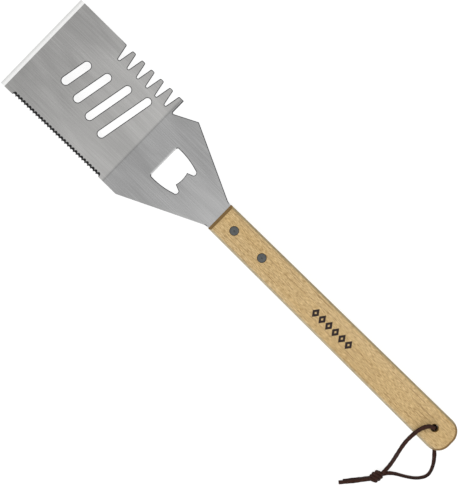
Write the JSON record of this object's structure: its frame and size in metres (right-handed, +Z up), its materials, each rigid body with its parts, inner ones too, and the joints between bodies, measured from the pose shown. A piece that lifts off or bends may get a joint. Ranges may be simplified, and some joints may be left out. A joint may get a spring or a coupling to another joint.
{
  "type": "grill spatula",
  "caption": "Long-handled slotted steel grill spatula with a serrated edge, tenderizer teeth, a bottle opener in the neck, a wooden handle and a leather hanging loop.",
  "frame": {"origin": "on the table, under the middle of the spatula's outline without its lanyard", "axes": "+X from the blade's front edge back along the handle, +Y to the side with the tenderizer teeth, +Z up; the spatula lies on the table on the bend behind its blade and on the handle's lower front edge"},
  "size_m": [0.4468, 0.1274, 0.0351],
  "materials": {
    "stainless_steel": "brushed along its length, with a ground front edge",
    "handle_wood": "pale oiled hardwood with fine lengthwise pores",
    "rivet_steel": "dull grey steel",
    "thong_leather": "dark brown smooth thong"
  },
  "bodies": {
    "spatula": {"spatula_blade": "stainless_steel", "handle": "handle_wood", "front_rivet_sleeve": "rivet_steel", "front_rivet_pin": "rivet_steel", "rear_rivet_sleeve": "rivet_steel", "rear_rivet_pin": "rivet_steel"},
    "lanyard": {"lanyard_upper_strand": "thong_leather", "lanyard_lower_strand": "thong_leather", "lanyard_knot": "thong_leather", "lanyard_short_tail": "thong_leather", "lanyard_long_tail": "thong_leather"}
  },
  "joints": [
    {"name": "lanyard_swing", "type": "hinge", "parent": "spatula", "child": "lanyard", "pos_m": [0.20073, 0, 0.02288], "axis": [0, 0, 1], "range_deg": [-15, 205]}
  ]
}
